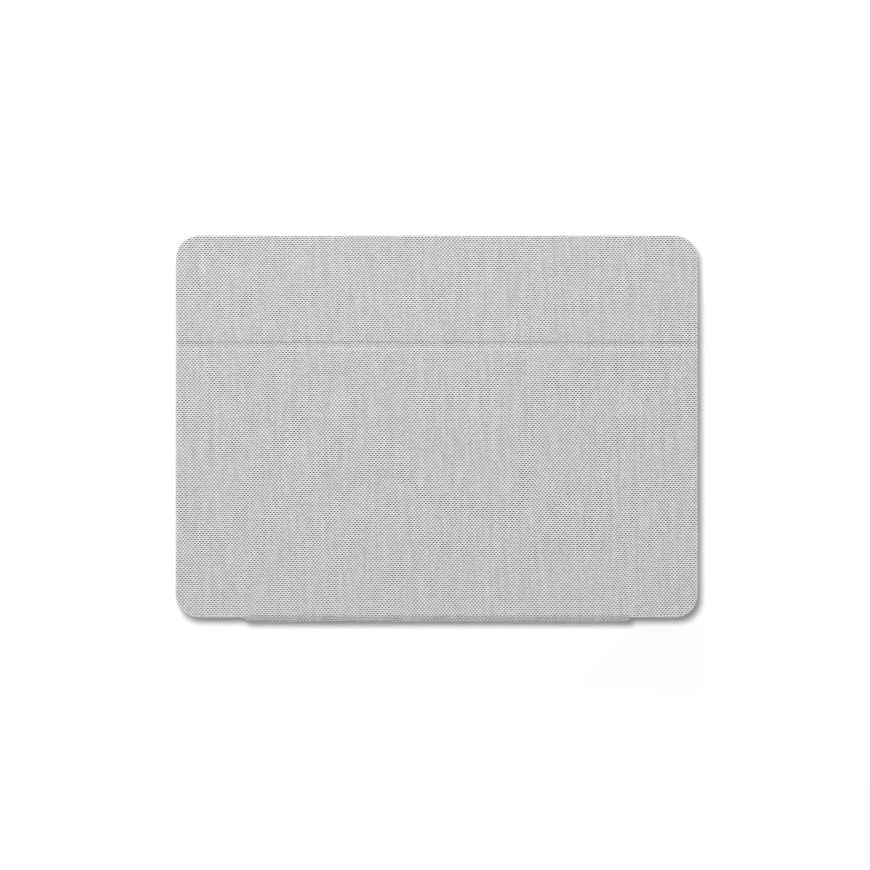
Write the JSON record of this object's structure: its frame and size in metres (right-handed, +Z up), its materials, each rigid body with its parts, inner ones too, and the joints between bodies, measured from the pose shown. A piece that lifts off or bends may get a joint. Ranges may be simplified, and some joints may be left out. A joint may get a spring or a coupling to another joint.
{
  "type": "tablet keyboard case",
  "caption": "Closed folding case in grey woven cloth: a keyboard base, a cloth spine, a tablet tray and a kickstand panel hinged along a crease.",
  "frame": {"origin": "middle of the case's outline at table level", "axes": "+X to the typist's right, +Y towards the spine, +Z up, with the case closed and lying flat"},
  "size_m": [0.25, 0.1846, 0.0196],
  "materials": {
    "woven_cloth": "matte two-tone plain weave",
    "lining": "short-pile microfibre",
    "stiff_board": "plain",
    "shell_plastic": "fine texture",
    "deck_plastic": "fine texture",
    "key_plastic": "satin",
    "trackpad_surface": "smooth satin",
    "steel": "plain",
    "membrane_film": "smooth",
    "dome_rubber": "matte",
    "bumper_rubber": "matte",
    "battery_pouch": "satin",
    "circuit_laminate": "satin",
    "switch_plastic": "satin",
    "light_lens": "clear gloss",
    "tray_plastic": "fine texture",
    "frame_rubber": "matte"
  },
  "bodies": {
    "keyboard_base": {"base_cloth": "woven_cloth", "bottom_shell": "shell_plastic", "key_deck": "deck_plastic", "support_plate": "steel", "membrane_sheet": "membrane_film", "rubber_domes": "dome_rubber", "battery_cell": "battery_pouch", "main_board": "circuit_laminate", "flex_ribbon": "membrane_film", "usb_port": "steel", "status_light": "light_lens", "trackpad_switch": "switch_plastic", "base_screws": "steel", "base_magnets": "steel", "screen_bumpers": "bumper_rubber", "lower_fold_cloth": "woven_cloth"},
    "spine": {"spine_board": "stiff_board", "spine_cloth": "woven_cloth", "spine_lining": "lining"},
    "tablet_holder": {"upper_fold_cloth": "woven_cloth", "tray_plate": "tray_plastic", "tray_keepers": "steel", "tray_lining": "lining", "tray_frame": "frame_rubber", "hinge_fixed_leaves": "steel", "hinge_pins": "steel", "fixed_leaf_rivets": "steel", "top_board": "stiff_board", "top_panel_cloth": "woven_cloth"},
    "kickstand": {"hinge_moving_leaves": "steel", "moving_leaf_rivets": "steel", "kick_board": "stiff_board", "kick_cloth": "woven_cloth", "kick_lining": "lining", "kick_magnets": "steel", "crease_cloth": "woven_cloth"},
    "function_row": {"function_row": "key_plastic"},
    "number_row": {"number_row": "key_plastic"},
    "top_letter_row": {"top_letter_row": "key_plastic"},
    "home_row": {"home_row": "key_plastic"},
    "bottom_letter_row": {"bottom_letter_row": "key_plastic"},
    "modifier_keys": {"modifier_keys": "key_plastic"},
    "backspace_key": {"backspace_key": "key_plastic"},
    "tab_key": {"tab_key": "key_plastic"},
    "bracket_key": {"bracket_key": "key_plastic"},
    "caps_key": {"caps_key": "key_plastic"},
    "enter_key": {"enter_key": "key_plastic"},
    "left_shift_key": {"left_shift_key": "key_plastic"},
    "right_shift_key": {"right_shift_key": "key_plastic"},
    "left_alt_key": {"left_alt_key": "key_plastic"},
    "space_bar": {"space_bar": "key_plastic"},
    "right_alt_key": {"right_alt_key": "key_plastic"},
    "left_arrow_key": {"left_arrow_key": "key_plastic"},
    "up_arrow_key": {"up_arrow_key": "key_plastic"},
    "down_arrow_key": {"down_arrow_key": "key_plastic"},
    "right_arrow_key": {"right_arrow_key": "key_plastic"},
    "trackpad": {"trackpad": "trackpad_surface"},
    "power_switch": {"power_switch": "switch_plastic"},
    "power_button": {"power_button": "frame_rubber"},
    "volume_rocker": {"volume_rocker": "frame_rubber"}
  },
  "joints": [
    {"name": "lower_spine_fold", "type": "hinge", "parent": "keyboard_base", "child": "spine", "pos_m": [0, 0.09142, 0.00088], "axis": [-1, 0, 0], "range_deg": [0, 90], "deforming": ["lower_fold_cloth"]},
    {"name": "upper_spine_fold", "type": "hinge", "parent": "spine", "child": "tablet_holder", "pos_m": [0, 0.09142, 0.01612], "axis": [-1, 0, 0], "range_deg": [0, 50], "deforming": ["upper_fold_cloth"]},
    {"name": "kickstand_hinge", "type": "hinge", "parent": "tablet_holder", "child": "kickstand", "pos_m": [0, -0.0399, 0.01795], "axis": [1, 0, 0], "range_deg": [0, 100], "deforming": ["crease_cloth"]},
    {"name": "function_row_press", "type": "slide", "parent": "keyboard_base", "child": "function_row", "axis": [0, 0, -1], "range_m": [0, 0.0013], "stiffness_N_per_m": 5600},
    {"name": "number_row_press", "type": "slide", "parent": "keyboard_base", "child": "number_row", "axis": [0, 0, -1], "range_m": [0, 0.0013], "stiffness_N_per_m": 5200},
    {"name": "top_letter_row_press", "type": "slide", "parent": "keyboard_base", "child": "top_letter_row", "axis": [0, 0, -1], "range_m": [0, 0.0013], "stiffness_N_per_m": 4400},
    {"name": "home_row_press", "type": "slide", "parent": "keyboard_base", "child": "home_row", "axis": [0, 0, -1], "range_m": [0, 0.0013], "stiffness_N_per_m": 4000},
    {"name": "bottom_letter_row_press", "type": "slide", "parent": "keyboard_base", "child": "bottom_letter_row", "axis": [0, 0, -1], "range_m": [0, 0.0013], "stiffness_N_per_m": 4000},
    {"name": "modifier_keys_press", "type": "slide", "parent": "keyboard_base", "child": "modifier_keys", "axis": [0, 0, -1], "range_m": [0, 0.0013], "stiffness_N_per_m": 1200},
    {"name": "backspace_key_press", "type": "slide", "parent": "keyboard_base", "child": "backspace_key", "axis": [0, 0, -1], "range_m": [0, 0.0013], "stiffness_N_per_m": 400},
    {"name": "tab_key_press", "type": "slide", "parent": "keyboard_base", "child": "tab_key", "axis": [0, 0, -1], "range_m": [0, 0.0013], "stiffness_N_per_m": 400},
    {"name": "bracket_key_press", "type": "slide", "parent": "keyboard_base", "child": "bracket_key", "axis": [0, 0, -1], "range_m": [0, 0.0013], "stiffness_N_per_m": 400},
    {"name": "caps_key_press", "type": "slide", "parent": "keyboard_base", "child": "caps_key", "axis": [0, 0, -1], "range_m": [0, 0.0013], "stiffness_N_per_m": 400},
    {"name": "enter_key_press", "type": "slide", "parent": "keyboard_base", "child": "enter_key", "axis": [0, 0, -1], "range_m": [0, 0.0013], "stiffness_N_per_m": 400},
    {"name": "left_shift_key_press", "type": "slide", "parent": "keyboard_base", "child": "left_shift_key", "axis": [0, 0, -1], "range_m": [0, 0.0013], "stiffness_N_per_m": 400},
    {"name": "right_shift_key_press", "type": "slide", "parent": "keyboard_base", "child": "right_shift_key", "axis": [0, 0, -1], "range_m": [0, 0.0013], "stiffness_N_per_m": 400},
    {"name": "left_alt_key_press", "type": "slide", "parent": "keyboard_base", "child": "left_alt_key", "axis": [0, 0, -1], "range_m": [0, 0.0013], "stiffness_N_per_m": 400},
    {"name": "space_bar_press", "type": "slide", "parent": "keyboard_base", "child": "space_bar", "axis": [0, 0, -1], "range_m": [0, 0.0013], "stiffness_N_per_m": 400, "deforming": ["rubber_domes"]},
    {"name": "right_alt_key_press", "type": "slide", "parent": "keyboard_base", "child": "right_alt_key", "axis": [0, 0, -1], "range_m": [0, 0.0013], "stiffness_N_per_m": 400},
    {"name": "left_arrow_key_press", "type": "slide", "parent": "keyboard_base", "child": "left_arrow_key", "axis": [0, 0, -1], "range_m": [0, 0.0013], "stiffness_N_per_m": 400},
    {"name": "up_arrow_key_press", "type": "slide", "parent": "keyboard_base", "child": "up_arrow_key", "axis": [0, 0, -1], "range_m": [0, 0.0013], "stiffness_N_per_m": 400},
    {"name": "down_arrow_key_press", "type": "slide", "parent": "keyboard_base", "child": "down_arrow_key", "axis": [0, 0, -1], "range_m": [0, 0.0013], "stiffness_N_per_m": 400},
    {"name": "right_arrow_key_press", "type": "slide", "parent": "keyboard_base", "child": "right_arrow_key", "axis": [0, 0, -1], "range_m": [0, 0.0013], "stiffness_N_per_m": 400},
    {"name": "trackpad_click", "type": "slide", "parent": "keyboard_base", "child": "trackpad", "axis": [0, 0, -1], "range_m": [0, 0.0003], "stiffness_N_per_m": 5000},
    {"name": "power_switch_slide", "type": "slide", "parent": "keyboard_base", "child": "power_switch", "axis": [0, 1, 0], "range_m": [0, 0.002]},
    {"name": "power_button_press", "type": "slide", "parent": "tablet_holder", "child": "power_button", "axis": [1, 0, 0], "range_m": [0, 0.0005], "stiffness_N_per_m": 3000},
    {"name": "volume_rocker_tilt", "type": "hinge", "parent": "tablet_holder", "child": "volume_rocker", "pos_m": [-0.095, -0.0885, 0.01175], "axis": [0, 0, 1], "range_deg": [-2.5, 2.5], "stiffness_Nm_per_rad": 0.3}
  ]
}
